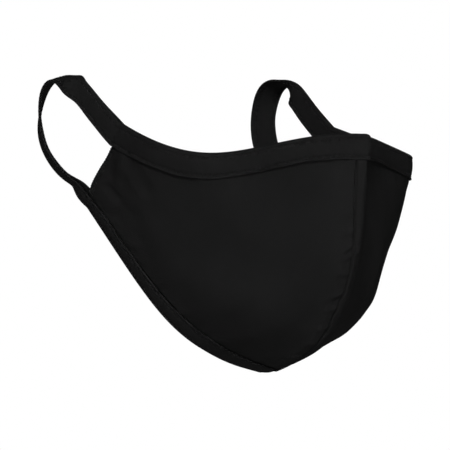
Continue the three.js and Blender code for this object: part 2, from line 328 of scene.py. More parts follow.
def thread_mesh(name, paths, lifts, radii, material):
    """Threads along paths, an array of threads by points. lifts are the directions out
    of the cloth there, and radii the thread's radius at each point of a path."""
    count, length = paths.shape[:2]
    ahead = unit(np.gradient(paths, axis=1))
    side = unit(np.cross(lifts, ahead))
    over = np.cross(ahead, side)
    turn = 2 * math.pi * np.arange(THREAD_SIDES) / THREAD_SIDES
    around = side[:, :, None] * np.cos(turn)[:, None]
    around = around + over[:, :, None] * np.sin(turn)[:, None]
    reach = np.broadcast_to(radii, (count, length))[..., None, None]
    points = paths[:, :, None] + around * reach
    index = np.arange(count * length * THREAD_SIDES).reshape(count, length, THREAD_SIDES)
    turned = np.roll(index, -1, axis=2)
    skin = np.stack([index[:, :-1], turned[:, :-1], turned[:, 1:], index[:, 1:]], -1)
    faces = skin.reshape(-1, 4).tolist()
    faces += index[:, 0, ::-1].tolist() + index[:, -1].tolist()
    along = running_length(np.swapaxes(paths, 0, 1)).T
    uv = np.stack(np.broadcast_arrays(along[..., None], turn), -1).reshape(-1, 2)
    corners = [i for face in faces for i in face]
    return make_object(name, points.reshape(-1, 3), faces, uv[corners], material, 70.0)


STITCH_LENGTH = 2.2  # from one needle hole to the next
THREAD_RADIUS = 0.2  # drawn about a third thicker than sewing thread, so that it shows

# Points of one stitch: places along it as shares of its length, heights over the cloth in
# radii of the thread, and the thread's radius, which is less where the needle hole grips.
STITCH_PLACES = np.array([-0.43, -0.36, -0.18, 0.0, 0.18, 0.36, 0.43])
STITCH_HEIGHTS = np.array([-1.2, 0.2, 0.8, 0.95, 0.8, 0.2, -1.2])
STITCH_RADII = THREAD_RADIUS * np.array([0.7, 0.9, 1.0, 1.0, 1.0, 0.9, 0.7])


def stitch_paths(row, normals, lift=THREAD_RADIUS):
    """Paths of the stitches along a row of surface points. Each one comes out of its
    needle hole, lies on the cloth and goes back in. lift is what heights are counted in."""
    along = running_length(row)
    middles = STITCH_LENGTH * (np.arange(int(along[-1] / STITCH_LENGTH)) + 0.5)
    places = middles[:, None] + STITCH_LENGTH * STITCH_PLACES
    heights = lift * STITCH_HEIGHTS

    def taken(values):
        return np.stack([np.interp(places, along, values[:, i]) for i in range(3)], -1)

    lifts = unit(taken(normals))
    return taken(row) + lifts * heights[:, None], lifts


def mirrored(points):
    return points * np.array([-1.0, 1.0, 1.0])


# ---------------------------------------------------------------- materials

LINT_SCALE = 1600.0  # per metre: single fibres that stand up
FADING_SCALE = 42.0  # per metre: patches of about 25 mm that took the dye unevenly
TWIST_LENGTH = 0.9  # mm of thread in one turn of its two plies


def linear(hex_colour):
    """An sRGB hex colour as linear RGBA."""
    parts = [int(hex_colour[i : i + 2], 16) / 255 for i in (1, 3, 5)]
    parts = [c / 12.92 if c <= 0.04045 else ((c + 0.055) / 1.055) ** 2.4 for c in parts]
    return (*parts, 1.0)


def add(tree, kind, inputs=None, **settings):
    """Adds a node. settings are its own properties, and inputs are values for its sockets
    or the outputs of other nodes, which are linked."""
    node = tree.nodes.new(kind)
    for name, value in settings.items():
        setattr(node, name, value)
    for socket, value in (inputs or {}).items():
        if isinstance(value, bpy.types.NodeSocket):
            tree.links.new(value, node.inputs[socket])
        else:
            node.inputs[socket].default_value = value
    return node


def calculated(tree, operation, *values):
    """The output of a Math node."""
    return add(tree, "ShaderNodeMath", dict(enumerate(values)), operation=operation).outputs[0]


def new_material(name):
    """An empty node material, with its tree."""
    material = bpy.data.materials.new(name)
    material.use_nodes = True
    material.node_tree.nodes.clear()
    return material, material.node_tree


def knitted_jersey(name, dark, light, wale, course, roughness, relief):
    """Single jersey: cotton yarn knitted in columns of small Vs and dyed black. The eye
    gets a matt, soft surface with fine ribs, a faint fuzz and slow changes of tone.
    wale is the distance from one column to the next, and course from one loop to the
    next. Real wales are 0.5 mm apart; they are drawn coarser, so that they show at all."""
    material, tree = new_material(name)
    place = add(tree, "ShaderNodeUVMap", uv_map=CLOTH_MAP)
    apart = add(tree, "ShaderNodeSeparateXYZ", {0: place.outputs["UV"]})
    solid = add(tree, "ShaderNodeTexCoord")
    # leg runs from 0 between two wales to wale / 2 in the middle of one, and the arms of
    # the Vs rise 1.1 mm for each millimetre of it
    leg = calculated(tree, "PINGPONG", apart.outputs[0], wale / 2)
    slant = calculated(tree, "MULTIPLY_ADD", leg, 1.1, apart.outputs[1])
    phase = calculated(tree, "MULTIPLY", slant, 2 * math.pi / course)
    loops = calculated(tree, "SINE", phase)
    rib = calculated(tree, "MULTIPLY_ADD", leg, 2.4 / wale, -0.4)
    knit = calculated(tree, "MULTIPLY_ADD", loops, 0.35, rib)
    fuzz = add(tree, "ShaderNodeTexNoise",
               {"Vector": solid.outputs["Object"], "Scale": LINT_SCALE, "Detail": 4.0,
                "Roughness": 0.7})
    cloud = add(tree, "ShaderNodeTexNoise",
                {"Vector": solid.outputs["Object"], "Scale": FADING_SCALE, "Detail": 3.0,
                 "Roughness": 0.55})
    faded = add(tree, "ShaderNodeMapRange",
                {"Value": cloud.outputs[0], "From Min": 0.3, "From Max": 0.7,
                 "To Min": 0.42, "To Max": 0.63})
    # the knit's height also sets the colour: painted shade, darker in the hollows between wales
    # and loops and lighter on the ribs; the slow patches are uneven dye
    tone = calculated(tree, "MULTIPLY_ADD", knit, 0.18, faded.outputs[0])
    colour = add(tree, "ShaderNodeValToRGB", {0: tone})
    colour.color_ramp.elements[0].position = 0.3
    colour.color_ramp.elements[0].color = linear(dark)
    colour.color_ramp.elements[1].position = 0.75
    colour.color_ramp.elements[1].color = linear(light)
    wear = add(tree, "ShaderNodeMapRange",
               {"Value": fuzz.outputs[0], "From Min": 0.3, "From Max": 0.7,
                "To Min": roughness - 0.06, "To Max": roughness + 0.05})
    ribs = add(tree, "ShaderNodeBump",
               {"Strength": relief, "Distance": 0.12 * MM, "Height": knit})
    lint = add(tree, "ShaderNodeBump",
               {"Strength": 0.15, "Distance": 0.1 * MM, "Height": fuzz.outputs[0],
                "Normal": ribs.outputs[0]})
    cloth = add(tree, "ShaderNodeBsdfPrincipled",
                {"Base Color": colour.outputs[0], "Roughness": wear.outputs[0],
                 "Normal": lint.outputs[0], "IOR": 1.45, "Specular IOR Level": 0.0,
                 "Sheen Weight": 0.0003, "Sheen Roughness": 0.45})
    add(tree, "ShaderNodeOutputMaterial", {"Surface": cloth.outputs[0]})
    return material


def spun_thread(name, dark, light):
    """Spun polyester sewing thread, two plies twisted and dyed black. It gives the eye a
    slightly brighter, smoother line than the cotton round it."""
    material, tree = new_material(name)
    place = add(tree, "ShaderNodeUVMap", uv_map=CLOTH_MAP)
    apart = add(tree, "ShaderNodeSeparateXYZ", {0: place.outputs["UV"]})
    turn = 2 * math.pi / TWIST_LENGTH
    twist = calculated(tree, "MULTIPLY_ADD", apart.outputs[0], turn, apart.outputs[1])
    wave = calculated(tree, "SINE", calculated(tree, "MULTIPLY", twist, 2.0))
    height = add(tree, "ShaderNodeMapRange", {"Value": wave, "From Min": -1.0, "From Max": 1.0})
    # the colour follows the twist's height: painted shade, darker in the grooves between the
    # plies and lighter on their crowns
    shade = add(tree, "ShaderNodeValToRGB", {0: height.outputs[0]})
    shade.color_ramp.elements[0].color = linear(dark)
    shade.color_ramp.elements[1].color = linear(light)
    relief = add(tree, "ShaderNodeBump",
                 {"Strength": 0.5, "Distance": 0.08 * MM, "Height": wave})
    thread = add(tree, "ShaderNodeBsdfPrincipled",
                 {"Base Color": shade.outputs[0], "Roughness": 0.6,
                  "Normal": relief.outputs[0], "IOR": 1.5, "Specular IOR Level": 0.0,
                  "Sheen Weight": 0.0003, "Sheen Roughness": 0.4})
    add(tree, "ShaderNodeOutputMaterial", {"Surface": thread.outputs[0]})
    return material


# The bindings are cut from the same cloth, and pressed flatter where they are folded
panel_jersey = knitted_jersey(
    "cotton_jersey_black", "#050505", "#090909", wale=0.9, course=0.8, roughness=0.92, relief=0.27
)
binding_jersey = knitted_jersey(
    "cotton_jersey_binding_black", "#050505", "#090909",
    wale=0.8, course=0.75, roughness=0.9, relief=0.14,
)
sewing_thread = spun_thread("spun_polyester_thread_black", "#070707", "#0e0e0e")

# ---------------------------------------------------------------- cheek panels

PANEL_ROWS = 170
CROWN_RADIUS = (PANEL_WALL + 2 * LAYER_GAP + 2 * BINDING_PLY) / 2
PANEL_INSET = CROWN_RADIUS + LAYER_GAP / 2
ROLL_WIDTH = 3.0  # how far from the seam its round ridge begins at most
ROLL_DEPTH = 1.15  # and how far it rounds the cloth off at most
LEAST_FLANK = 3.0  # degrees, under the chin, where the panels run straight on
HEM_GAP = 0.6  # how far the cloth falls back under the top binding's hem near the ear
HEM_PULL = 0.16  # ripples that the hems' stitches pull into the panel
HEM_LIP = 0.12  # how far the panel is pushed out right beside a hem
WELT_RISE = 0.8  # the padded strip between the seam and the topstitching
WELT_PINCH = 57.0  # length down the seam past which the topstitching holds the welt flatter
WELT_END = (53.5, 3.6, 0.5)  # where it swells above its pinch: length, width, rise
GROOVE_DEPTH = 0.6
ALLOWANCE_WIDTH = 9.0  # the seam allowances, pressed to the topstitched side
ALLOWANCE_RISE = 0.45  # how far they push the outside out
ALLOWANCE_STEP = 0.35  # and how far they stand off the inside
ALLOWANCE_INSIDE = 6.5  # the width of the step inside

# How far the topstitched groove lies from the centre seam, at shares down the seam.
groove_distance = spline_through(
    [0, 0.12, 0.3, 0.42, 0.53, 0.64, 1],
    [5.4, 5.3, 3.9, 2.9, 3.7, 3.1, 3.2],
)

# Puckers where the topstitching pulls: length down the seam, slant, width, reach, rise.
PUCKERS = [
    (22.0, 0.3, 3.0, 8.0, 0.2),
    (36.0, 0.3, 3.0, 8.0, 0.4),
    (44.5, 0.4, 2.4, 7.0, 0.8),
    (50.5, 0.9, 2.4, 10.0, 0.95),
    (56.0, 0.5, 2.2, 7.0, 0.8),
    (64.0, 0.3, 2.6, 7.0, 0.85),
    (73.5, 0.6, 2.8, 9.0, 1.0),
    (82.0, 0.2, 2.6, 7.0, 0.7),
    (92.0, 0.3, 2.8, 7.0, 0.65),
    (103.0, 0.2, 3.0, 7.0, 0.55),
    (116.0, 0.2, 3.0, 7.0, 0.5),
]

# Creases near the ear, as lines on the flat cloth: two ends, each as distance in from the
# ear edge and down from the top, then half width and rise.
CREASES = [
    ((9.0, 12.0), (13.5, 28.0), 5.5, 1.1),
    ((13.5, 28.0), (27.0, 36.0), 5.5, 0.8),
    ((9.0, 33.0), (16.5, 36.5), 3.8, -0.8),
    ((17.0, 15.0), (31.0, 25.5), 5.5, -0.9),
    ((21.0, 46.0), (37.0, 55.0), 6.0, -0.6),
]

# Slow unevenness of worn cloth: wave length across, wave length down, phase, height.
SWELLS = [
    (61.0, 83.0, 0.6, 0.35),
    (37.0, -52.0, 2.1, 0.22),
    (24.0, 31.0, 4.0, 0.1),
    (-17.0, 26.0, 1.2, 0.06),
]


def panel_shares():
    """Shares across a panel: close together at the seam, at the groove and at the ear."""
    share = np.linspace(0.0, 1.0, 401)
    middle = panel_point(np.full_like(share, 0.5), share)
    length = running_length(middle)
    seam_side = np.concatenate([[0, 0.12, 0.25, 0.45], np.arange(0.7, 8.0, 0.33)])
    ear_side = length[-1] - np.array([2.4, 1.8, 1.3, 0.95, 0.7, 0.48, 0.28, 0.13, 0.04, 0.0])
    middle_steps = np.linspace(seam_side[-1], ear_side[0], 96)[1:-1]
    places = np.concatenate([seam_side, middle_steps, ear_side])
    return np.interp(places, length, share)


def swell_at(across_mm, down_mm):
    """Height of the slow unevenness at a place on the flat cloth."""
    return sum(
        height * np.sin(2 * math.pi * (across_mm / w + down_mm / d) + phase)
        for w, d, phase, height in SWELLS
    )


def creases_at(from_ear, from_top):
    """Height of the creases at a place on the flat cloth."""
    ridge, valley = np.zeros(from_ear.shape), np.zeros(from_ear.shape)
    for start, end, half_width, rise in CREASES:
        run = np.subtract(end, start)
        east, south = from_ear - start[0], from_top - start[1]
        share = np.clip((east * run[0] + south * run[1]) / (run @ run), 0.0, 1.0)
        off = np.hypot(east - share * run[0], south - share * run[1])
        height = rise * bump(np.minimum(off / half_width, 1.0))
        ridge, valley = np.maximum(ridge, height), np.minimum(valley, height)
    return ridge + valley


def seam_ridge(down, from_seam):
    """The ridge at the seam is round: both panels turn there until they face forwards."""
    turn = np.tan(np.radians(np.maximum(section_at(down)[:, 5], LEAST_FLANK)))
    width = np.minimum(ROLL_WIDTH, 2 * ROLL_DEPTH / turn)
    return turn * width / 2 * np.maximum(0.0, 1.0 - from_seam / width) ** 2


def topstitched_relief(down, lengths, from_seam):
    """How far the outside of the topstitched panel stands out beside the seam: the welt,
    the groove with its needle holes, the seam allowances and the puckers."""
    past = from_seam - groove_distance(down)[None, :]
    holes = 0.75 + 0.25 * np.cos(2 * math.pi * lengths[:1] / STITCH_LENGTH)
    fullness = 0.55 + 0.45 * ease((WELT_PINCH - lengths) / 3.0)
    relief = WELT_RISE * fullness * ease(from_seam / 0.6) * ease(-past / 0.8)
    relief -= GROOVE_DEPTH * holes * bell(past / 0.45)
    relief += ALLOWANCE_RISE * ease((ALLOWANCE_WIDTH - from_seam) / 2.4) * ease(past / 0.6)
    middle, width, rise = WELT_END
    relief += rise * bump((lengths - middle) / width) * ease(-past / 0.9)
    for middle, slant, width, reach, rise in PUCKERS:
        off = (lengths - middle - slant * past) / width
        relief += rise * bump(off) * bump((past / reach - 0.3) / 0.7) * ease(past / 0.8)
    return relief


def worn_swell(from_seam, from_ear, lengths, from_top, from_bottom):
    """The unevenness that both faces of a panel share: slow swells, creases near the ear
    and what the hems of the bindings do to the cloth beside them."""
    swell = swell_at(from_seam, lengths) * ease(from_seam / 12) * ease(from_ear / 6)
    swell = swell + creases_at(from_ear, lengths)
    for distance in (from_top, from_bottom):
        past_hem = np.maximum(distance, 0)
        ripple = np.sin(2 * math.pi * from_seam / 7.3 + 1.4 * np.sin(from_seam / 11.0))
        pulled = HEM_PULL * ripple * np.exp(-past_hem / 5) * ease(from_seam / 10)
        swell = swell + pulled + HEM_LIP * np.exp(-past_hem / 1.3)
    gap = HEM_GAP * np.exp(-np.maximum(from_top, 0) / 2.0)
    return swell - gap * ease((45 - from_ear) / 20)


def panel_grids(topstitched):
    """The outer and inner grid of a panel on the wearer's left, and its flat places."""
    share = panel_shares()
    total = line_lengths(share)[-1]
    rows = np.linspace(0.0, 1.0, PANEL_ROWS)
    lengths = PANEL_INSET + (total[:, None] - 2 * PANEL_INSET) * rows
    down = down_at(share, lengths)
    across = np.broadcast_to(share[:, None], down.shape)
    surface = panel_point(down, across)
    outward = panel_outward(down, across)
    from_seam = running_length(surface)
    from_ear = from_seam[-1] - from_seam
    from_top = lengths - BINDING_WIDTH
    from_bottom = total[:, None] - lengths - BINDING_WIDTH
    in_the_open = ease((np.minimum(from_top, from_bottom) + 0.8) / 1.6)

    inner = worn_swell(from_seam, from_ear, lengths, from_top, from_bottom)
    outer = inner - seam_ridge(down[0], from_seam)
    if topstitched:
        outer += topstitched_relief(down[0], lengths, from_seam)
        # Inside, the seam allowances are felt as a low step
        step = ease(from_seam / 1.2) * ease((ALLOWANCE_INSIDE - from_seam) / 0.6)
        inner -= ALLOWANCE_STEP * step

    # The raw ear edge is rounded and pressed thinner
    rounding = np.clip(from_ear / (PANEL_WALL / 2), 0.0, 1.0)
    half = PANEL_WALL / 2 * (0.25 + 0.75 * np.sqrt(1 - (1 - rounding) ** 2))
    middle = -PANEL_WALL / 2
    front = surface + outward * (outer * in_the_open + middle + half)[..., None]
    rear = surface + outward * (inner * in_the_open + middle - half)[..., None]
    front[0, :, 0] = 0.0
    rear[0, :, 0] = 0.0
    return front, rear, np.stack([from_seam, lengths], -1)


right_front, right_rear, right_flat = panel_grids(topstitched=True)
left_front, left_rear, left_flat = panel_grids(topstitched=False)
panel_right = cloth_solid(
    "cheek_panel_right", mirrored(right_front), mirrored(right_rear), right_flat, panel_jersey
)
panel_left = cloth_solid("cheek_panel_left", left_front, left_rear, left_flat, panel_jersey)

# ---------------------------------------------------------------- bindings and ear loops

ROW_NEAR_FOLD = 2.5  # first row of stitches, from the folded edge
ROW_NEAR_HEM = 10.3  # second row
STITCH_SINK = 0.34  # how far a row of stitches pulls the strip down
LEG_FULLNESS = 0.12  # how far it stands up between the two rows
HEM_CURL = 0.22  # and how far its hem curls up
# How far the cloth between the rows drags into ripples, and how deep the needle holes are.
# Both are slighter under the chin, where the light grazes the strip.
TOP_DRAG, TOP_HOLES = 0.1, 0.42
BOTTOM_DRAG, BOTTOM_HOLES = 0.04, 0.14
LOOP_DRAG = 0.08
LOOP_PLY = 0.62
LOOP_RELIEF = 0.55  # share of the relief that is left on a loop, whose ply is thin
LEG_WIDTHS = np.array([
    12.0, 11.93, 11.75, 11.45, 11.1, 10.8, 10.55, 10.3, 10.05, 9.8, 9.45, 9.0, 8.4, 7.6,
    6.7, 5.8, 4.9, 4.1, 3.5, 3.1, 2.8, 2.5,
])
FOLD_ANGLES = np.radians([8, 22, 36, 50, 64, 77, 90, 103, 116, 130, 144, 158, 172])
HEM_INDEX = int(np.argmin(abs(LEG_WIDTHS - ROW_NEAR_HEM)))
FOLD_INDEX = len(LEG_WIDTHS) - 1


def strip_section(ply, radius):
    """The section of a folded strip, from the outer hem over the fold to the inner hem. It
    gives the ply's middle line as distances from the folded edge and heights, then the
    direction across and up to the outside, and half the ply there. radius is half the
    thickness of the folded strip."""
    crown = radius - ply / 2
    leg = np.ones(len(LEG_WIDTHS))
    width = np.concatenate([LEG_WIDTHS, radius - crown * np.sin(FOLD_ANGLES), LEG_WIDTHS[::-1]])
    across = np.concatenate([0 * leg, -np.sin(FOLD_ANGLES), 0 * leg])
    up = np.concatenate([leg, np.cos(FOLD_ANGLES), -leg])
    from_hem = np.clip((BINDING_WIDTH - width) / (ply / 2), 0.0, 1.0)
    half = ply / 2 * (0.3 + 0.7 * np.sqrt(1 - (1 - from_hem) ** 2))
    return width, crown * up, across, up, half


def strip_relief(width, up, along, drag_rise, hole_depth):
    """How far the outside of a strip stands off its plain section: pulled down along the
    two rows of stitches and at each needle hole, full between them, and curled a little
    at the hem. along is the length along the strip."""
    leg = abs(up) > 0.99
    hole = 0.5 + 0.5 * np.cos(2 * math.pi * along / STITCH_LENGTH)
    relief = np.zeros(np.broadcast(width, along).shape)
    for row in (ROW_NEAR_FOLD, ROW_NEAR_HEM):
        off = width - row
        relief = relief - STITCH_SINK * bell(off / 0.5) - hole_depth * hole * bell(off / 1.3)
    relief = relief + LEG_FULLNESS * bump((width - 6.3) / 3.4)
    relief = relief + HEM_CURL * bell((width - 11.6) / 0.6)
    drag = np.sin(2 * math.pi * (along + 0.9 * width) / 5.6 + 1.6 * np.sin(along / 13.0))
    drag = drag * (0.55 + 0.45 * np.sin(along / 21.0 + 0.8))
    relief = relief + drag_rise * drag * bump((width - 6.4) / 4.2)
    return np.where(leg, relief, 0.0)


def hem_wander(along):
    """A sewn hem is never quite straight."""
    return 0.14 * np.sin(along / 6.1) + 0.1 * np.sin(along / 2.9 + 1.0)


BINDING_SPACING = 0.62  # from one station of a binding to the next
BINDING_ROLL = 0.8  # how far the top binding is rounded off where it crosses the nose
EAR_END_WIDTH = 9.0  # the bottom binding's width where the loop pulls it narrower
EAR_END_RUN = 16.0  # and the length over which it narrows
DEEPEST_DENT = 0.85  # share of the ply to which the relief may dent it


def binding_shares():
    """Shares across a panel at which a binding has its stations."""
    share = np.linspace(0.0, 1.0, 401)
    edge = panel_point(np.full_like(share, 0.06), share)
    length = running_length(edge)
    count = int(length[-1] / BINDING_SPACING)
    return np.interp(np.linspace(0, length[-1], count), length, share)


def half_binding(edge):
    """The outside and lining side of a binding on the wearer's left, and flat places."""
    share = binding_shares()
    width, height, across, up, half = strip_section(BINDING_PLY, CROWN_RADIUS)
    centre = np.full((len(share), 1), BINDING_WIDTH / 2)
    along = running_length(on_panel(share, centre, 0 * centre, edge)[:, 0])[:, None]
    wander = hem_wander(along) * ease((width - 8.5) / 3.0) * ease(along / 6)
    lengths = width + wander
    if edge == "top":
        relief = strip_relief(width, up, along, TOP_DRAG, TOP_HOLES)
        relief = relief - BINDING_ROLL * np.maximum(0.0, 1.0 - along / 1.8) ** 2 * abs(up)
    else:
        relief = strip_relief(width, up, along, BOTTOM_DRAG, BOTTOM_HOLES)
        pull = ease((along - along[-1] + EAR_END_RUN) / EAR_END_RUN)
        past_fold = np.clip((width - CROWN_RADIUS) / (BINDING_WIDTH - CROWN_RADIUS), 0.0, 1.0)
        lengths = lengths - (BINDING_WIDTH - EAR_END_WIDTH) * pull * past_fold
    relief = np.maximum(relief, -DEEPEST_DENT * BINDING_PLY)
    middle = height - PANEL_WALL / 2 + 0 * along
    outside = on_panel(share, lengths + across * half, middle + up * (half + relief), edge)
    lining = on_panel(share, lengths - across * half, middle - up * half, edge)
    path = running_length(np.stack([width, height], -1))
    flat = np.stack(np.broadcast_arrays(along, path), -1)
    return outside, lining, flat


def whole_binding(edge):
    """A binding from ear to ear: the left half with its mirror image before it."""
    outside, lining, flat = half_binding(edge)
    grids = []
    for grid in (outside, lining):
        grid[0, :, 0] = 0.0
        grids.append(np.concatenate([mirrored(grid[:0:-1]), grid]))
    flat_right = flat[:0:-1] * np.array([-1.0, 1.0])
    return *grids, np.concatenate([flat_right, flat])


STATION_STEP = 1 / 22  # share of a panel from one station of the solid binding to the next


def binding_frame(edge):
    """The end of a binding at the ear: its middle, and the directions on along the strip,
    across it towards the ear opening, and out of the cloth."""
    share = np.array([1 - STATION_STEP, 1.0])
    marks = np.array([[0.0, BINDING_WIDTH, BINDING_WIDTH / 2]] * 2)
    middle = np.full((2, 3), -PANEL_WALL / 2)
    fold, hem, half = on_panel(share, marks, middle, edge)[1]
    before, after = on_panel(share, marks[:, 2:], np.zeros((2, 1)), edge)[:, 0]
    across = unit(hem - fold)
    outward = unit(after - half)
    return (fold + hem) / 2, unit(after - before), across, outward


LOOP_SPACING = 0.6  # from one station of a loop to the next


def loop_course(start, finish):
    """The middle line of an ear loop, how far its band is turned there in degrees, both by
    length from its start, and its whole length."""
    table = np.array(LOOP_STATIONS)
    sizes = np.array([BINDING_WIDTH, LOOP_REACH, LOOP_RISE])
    points = np.vstack([start, start + table[:, [2, 0, 1]] * sizes, finish])
    knots = running_length(points)
    turn_at = spline_through(knots, [0, *table[:, 3], 0])
    return spline_through(knots, points), turn_at, knots[-1]


def loop_grids(top_end, bottom_end):
    """An ear loop on the wearer's left, from the top binding's end to the bottom one's.
    The ends are the binding's outside and lining side there. Each end of the loop keeps
    the binding's section, and settles into the loop's own over its taper."""
    top_middle, top_ahead, top_across, top_outward = binding_frame("top")
    low_middle, low_ahead, low_across, low_outward = binding_frame("bottom")
    path, turn_at, total = loop_course(
        top_middle + LAYER_GAP * top_ahead, low_middle + LAYER_GAP * low_ahead
    )
    along = np.linspace(0, total, int(total / LOOP_SPACING) + 1)
    ahead = unit(path(np.minimum(total, along + 0.1)) - path(np.maximum(0, along - 0.1)))
    sideways = np.array([1.0, 0.0, 0.0])
    flat = unit(sideways - ahead * (ahead @ sideways)[:, None])
    inward = np.cross(ahead, flat)
    turn = np.radians(turn_at(along))[:, None]
    outward = flat * np.cos(turn) - inward * np.sin(turn)
    across = inward * np.cos(turn) + flat * np.sin(turn)

    settle = np.minimum(ease(along / LOOP_TAPERS[0]), ease((total - along) / LOOP_TAPERS[1]))
    settle = settle[:, None]
    upper = (along < total / 2)[:, None]
    outward = unit(np.where(upper, top_outward, low_outward) * (1 - settle) + outward * settle)
    across = unit(np.where(upper, top_across, low_across) * (1 - settle) + across * settle)
    here = path(along) - LAYER_GAP * np.where(upper, top_ahead, low_ahead) * (1 - settle)
    basis = np.stack([np.cross(across, outward), across, outward], 1)

    width, height, tilt, up, half = strip_section(LOOP_PLY, LOOP_THICKNESS / 2)
    relief = strip_relief(width, up, along[:, None], LOOP_DRAG, TOP_HOLES) * LOOP_RELIEF
    wander = hem_wander(along[:, None]) * ease((width - 8.5) / 3.0)
    grids = []
    for top, bottom, sign, lift in zip(top_end, bottom_end, (1, -1), (relief, 0 * relief)):
        own_across = width + wander + sign * tilt * half - BINDING_WIDTH / 2
        own_height = height + up * (sign * half + lift)
        own = across[:, None] * own_across[..., None] + outward[:, None] * own_height[..., None]
        ends = []
        for ring, k, middle in ((top, 0, top_middle), (bottom, -1, low_middle)):
            local = (ring - middle) @ np.linalg.inv(basis[k])
            ends.append(np.einsum("ri,sij->srj", local, basis))
        carried = np.where(upper[..., None], ends[0], ends[1])
        mix = settle[..., None]
        grids.append(here[:, None] + carried * (1 - mix) + own * mix)
    across_strip = running_length(np.stack([width, height], -1))
    flat_places = np.stack(np.broadcast_arrays(along[:, None], across_strip), -1)
    return *grids, flat_places


top_outside, top_lining, top_flat = whole_binding("top")
bottom_outside, bottom_lining, bottom_flat = whole_binding("bottom")
binding_top = cloth_solid("top_binding", top_outside, top_lining, top_flat, binding_jersey)
binding_bottom = cloth_solid(
    "bottom_binding", bottom_outside, bottom_lining, bottom_flat, binding_jersey
)
loop_outside, loop_lining, loop_flat = loop_grids(
    (top_outside[-1], top_lining[-1]), (bottom_outside[-1], bottom_lining[-1])
)
ear_loop_left = cloth_solid(
    "ear_loop_left_band", loop_outside, loop_lining, loop_flat, binding_jersey
)
ear_loop_right = cloth_solid(
    "ear_loop_right_band", mirrored(loop_outside), mirrored(loop_lining), loop_flat,
    binding_jersey,
)

# ---------------------------------------------------------------- stitches

# Points of a strip's section that are stitched: two on the outer leg, two on the inner
LAST_POINT = 2 * len(LEG_WIDTHS) + len(FOLD_ANGLES) - 1
STITCHED_POINTS = [HEM_INDEX, FOLD_INDEX, LAST_POINT - FOLD_INDEX, LAST_POINT - HEM_INDEX]
SEAM_THREAD = 0.7  # share of the drawn thickness that the thread has beside the seam
SEAM_THREAD_LIFT = 0.12  # and its height there, a little less than its own radius
SEAM_STITCH_GAP = 0.5  # from a binding's hem to the first stitch beside the centre seam


def outward_normals(grid, away_from):
    """Grid normals, all turned to point away from the other grid."""
    normals = grid_normals(grid)
    flip = ((grid - away_from) * normals).sum(-1, keepdims=True) < 0
    return np.where(flip, -normals, normals)


def strip_stitches(name, outside, lining):
    """The two rows of stitches on the outer and the inner face of a folded strip."""
    normals = outward_normals(outside, lining)
    runs = [stitch_paths(outside[:, i], normals[:, i]) for i in STITCHED_POINTS]
    paths, lifts = (np.concatenate(parts) for parts in zip(*runs))
    return thread_mesh(name, paths, lifts, STITCH_RADII, sewing_thread)


stitches_top = strip_stitches("top_binding_stitches", top_outside, top_lining)
stitches_bottom = strip_stitches("bottom_binding_stitches", bottom_outside, bottom_lining)
stitches_loop_left = strip_stitches("ear_loop_left_stitches", loop_outside, loop_lining)
stitches_loop_right = strip_stitches(
    "ear_loop_right_stitches", mirrored(loop_outside), mirrored(loop_lining)
)


def seam_topstitches():
    """The row of stitches in the groove beside the centre seam, outside and inside."""
    from_seam, rows = right_flat[:, :, 0], np.arange(PANEL_ROWS)
    lengths = right_flat[0, :, 1]
    under_hem = BINDING_WIDTH + SEAM_STITCH_GAP
    keep = (lengths > under_hem) & (lengths < lengths[-1] + PANEL_INSET - under_hem)
    groove = groove_distance(np.linspace(0, 1, PANEL_ROWS))
    lines = np.arange(len(from_seam))
    place = np.array([np.interp(groove[r], from_seam[:, r], lines) for r in rows])
    low = np.floor(place).astype(int)
    part = (place - low)[:, None]
    runs = []
    for grid, other in ((right_front, right_rear), (right_rear, right_front)):
        normals = outward_normals(grid, other)
        row = grid[low, rows] * (1 - part) + grid[low + 1, rows] * part
        runs.append(stitch_paths(row[keep], normals[low, rows][keep], SEAM_THREAD_LIFT))
    paths, lifts = (mirrored(np.concatenate(parts)) for parts in zip(*runs))
    return thread_mesh(
        "centre_seam_topstitches", paths, lifts, SEAM_THREAD * STITCH_RADII, sewing_thread
    )


seam_stitches = seam_topstitches()

OVERLOCK_PITCH = 1.5
OVERLOCK_REACH = 2.6  # how far the overlock threads reach in from the raw ear edge
OVERLOCK_OVERHANG = 0.25  # how far they pass it
OVERLOCK_RADIUS = 0.13
OVERLOCK_GAP = 0.4  # from a binding's hem to the first and the last of them
OVERLOCK_STEPS = np.linspace(0, 1, 15)
EDGE_BEND = 0.86  # share of a thread's run after which it bends round the edge
CHAIN_OVERHANG = 0.3
CHAIN_SWAY = 0.12
CHAIN_THICKNESS = 1.15  # the chain's thread against the others'


def ear_edge_points(from_edge, lengths, height):
    """Points and outward directions near the ear edge of a panel, at distances in from
    the edge, lengths down from the top and heights over the middle of the cloth."""
    line = line_lengths(np.array([1.0]))[:, 0]
    down = np.interp(lengths, line, DOWN_SAMPLES)
    ones = np.ones_like(down)
    to_edge = panel_point(down, ones) - panel_point(down, 0.99 * ones)
    speed = np.linalg.norm(to_edge, axis=-1) / 0.01
    across = 1 - np.maximum(from_edge, 0) / speed
    beyond = np.maximum(-from_edge, 0)[..., None]
    outward = panel_outward(down, across)
    points = panel_point(down, across) + outward * (height - PANEL_WALL / 2)[..., None]
    return points + unit(to_edge) * beyond, outward


